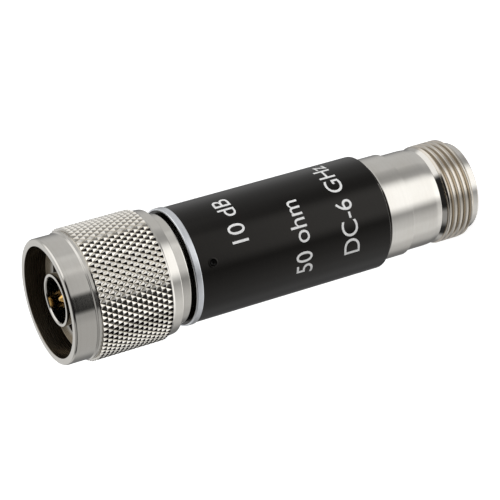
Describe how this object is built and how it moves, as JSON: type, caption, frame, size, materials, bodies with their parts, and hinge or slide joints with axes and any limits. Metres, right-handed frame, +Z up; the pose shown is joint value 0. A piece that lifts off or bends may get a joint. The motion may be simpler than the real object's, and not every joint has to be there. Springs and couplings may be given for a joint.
{
  "type": "rf attenuator",
  "caption": "Inline coaxial RF attenuator: plug with a knurled coupling nut at one end, threaded jack at the other, plain black sleeve between; lowers a signal's level.",
  "frame": {"origin": "centre of the jack's flat end face, on which the part stands", "axes": "+Z up the coaxial axis, from the jack to the mouth of the plug's coupling nut; the stake mark on the sleeve faces -Y"},
  "size_m": [0.0202, 0.0202, 0.0711],
  "materials": {
    "nickel_plate": "satin nickel plate on turned brass",
    "spring_bronze": "plain spring bronze",
    "gasket_rubber": "matt silicone rubber",
    "white_insulator": "smooth turned fluoropolymer",
    "bare_brass": "turned",
    "gold_plate": "gold plate",
    "bare_aluminium": "bare, finely turned",
    "black_anodise": "black anodised, satin",
    "white_ceramic": "as-fired ceramic",
    "dark_film": "fired resistor film"
  },
  "bodies": {
    "body": {"nut_snap_ring": "spring_bronze", "plug_body": "nickel_plate", "plug_gasket": "gasket_rubber", "plug_bead": "white_insulator", "plug_bush": "bare_brass", "plug_pin": "gold_plate", "end_ring": "bare_aluminium", "body_sleeve": "black_anodise", "left_card_carrier": "bare_aluminium", "right_card_carrier": "bare_aluminium", "attenuator_card": "white_ceramic", "resistor_film": "dark_film", "signal_pads": "gold_plate", "ground_strips": "gold_plate", "jack_body": "nickel_plate", "jack_bead": "white_insulator", "jack_bush": "bare_brass", "jack_socket": "gold_plate"},
    "nut": {"coupling_nut": "nickel_plate"}
  },
  "joints": [
    {"name": "nut_spin", "type": "hinge", "parent": "body", "child": "nut", "pos_m": [0, 0, 0.0617], "axis": [0, 0, 1], "continuous": true}
  ]
}
